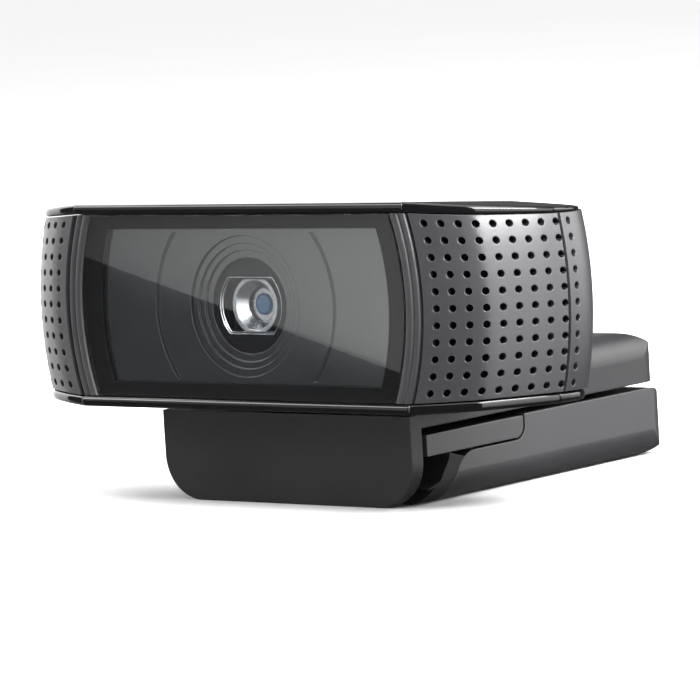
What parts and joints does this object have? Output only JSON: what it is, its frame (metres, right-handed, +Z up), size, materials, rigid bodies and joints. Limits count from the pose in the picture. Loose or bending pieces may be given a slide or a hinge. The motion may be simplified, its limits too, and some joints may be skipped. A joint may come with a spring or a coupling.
{
  "type": "clip-on webcam",
  "caption": "Wide desktop webcam with a clear front window, perforated microphone ends, a tilting head and a folding monitor clip with a tripod thread.",
  "frame": {"origin": "middle of the footprint, at the underside of the folded clip", "axes": "+X to the viewer's right along the head, +Y from the window to the back, +Z up"},
  "size_m": [0.0936, 0.0712, 0.0433],
  "materials": {
    "gloss_black_abs": "gloss black moulded",
    "satin_black_abs": "satin black moulded",
    "matte_black_abs": "matte black moulded",
    "clear_acrylic": "clear gloss",
    "panel_print": "dark grey satin",
    "light_pipe": "smoked light guide",
    "lens_glass": "coated glass",
    "silver_trim": "bright anodised",
    "black_anodised": "black anodised",
    "steel": "zinc plated",
    "copper_coil": "enamelled wire",
    "board_green": "solder mask",
    "chip_black": "moulded epoxy",
    "filter_glass": "blue-green filter glass",
    "led_white": "diffused lens",
    "soft_rubber": "matte rubber",
    "brass_insert": "turned"
  },
  "bodies": {
    "clip": {"clip_arm": "matte_black_abs", "arm_plate": "matte_black_abs", "arm_screws": "steel", "shelf_pad": "soft_rubber", "lip_pad": "soft_rubber", "fold_pin": "steel", "tilt_bracket": "steel", "bracket_rivets": "steel", "tilt_shaft": "steel", "friction_washers": "steel", "shaft_clips": "steel"},
    "head": {"front_window": "clear_acrylic", "window_border": "gloss_black_abs", "front_frame": "satin_black_abs", "inner_panel": "panel_print", "light_guide_right": "light_pipe", "light_guide_left": "light_pipe", "lens_surround": "panel_print", "aperture_plate": "black_anodised", "lens_hood": "silver_trim", "lens_holder": "matte_black_abs", "focus_yoke": "steel", "infrared_filter": "filter_glass", "image_sensor": "chip_black", "main_board": "board_green", "board_chips": "chip_black", "chassis": "matte_black_abs", "board_screws": "steel", "light_board_right": "board_green", "light_board_left": "board_green", "status_lights": "led_white", "microphone_right": "steel", "microphone_left": "steel", "microphone_boot_right": "soft_rubber", "microphone_boot_left": "soft_rubber", "grille_right": "satin_black_abs", "grille_left": "satin_black_abs", "rear_cover": "satin_black_abs", "cover_screws": "steel", "cable_gland": "soft_rubber", "top_band": "gloss_black_abs", "bottom_band": "gloss_black_abs", "top_band_wing_right": "gloss_black_abs", "top_band_wing_left": "gloss_black_abs", "bottom_band_wing_right": "gloss_black_abs", "bottom_band_wing_left": "gloss_black_abs"},
    "lens": {"lens_barrel": "black_anodised", "front_lens": "lens_glass", "rear_lens": "lens_glass", "focus_coil": "copper_coil"},
    "leg": {"leg_shell": "satin_black_abs", "leg_plate": "matte_black_abs", "leg_screws": "steel", "tripod_insert": "brass_insert", "foot_bar": "satin_black_abs", "rubber_toe": "soft_rubber"}
  },
  "joints": [
    {"name": "head_tilt", "type": "hinge", "parent": "clip", "child": "head", "pos_m": [0, -0.00769, 0.01605], "axis": [-1, 0, 0], "range_deg": [-1.5, 30]},
    {"name": "leg_fold", "type": "hinge", "parent": "clip", "child": "leg", "pos_m": [0, 0.03059, 0.00505], "axis": [1, 0, 0], "range_deg": [0, 115]},
    {"name": "lens_focus", "type": "slide", "parent": "head", "child": "lens", "axis": [0, -0.9994, 0.0349], "range_m": [0, 0.00025], "stiffness_N_per_m": 60}
  ]
}
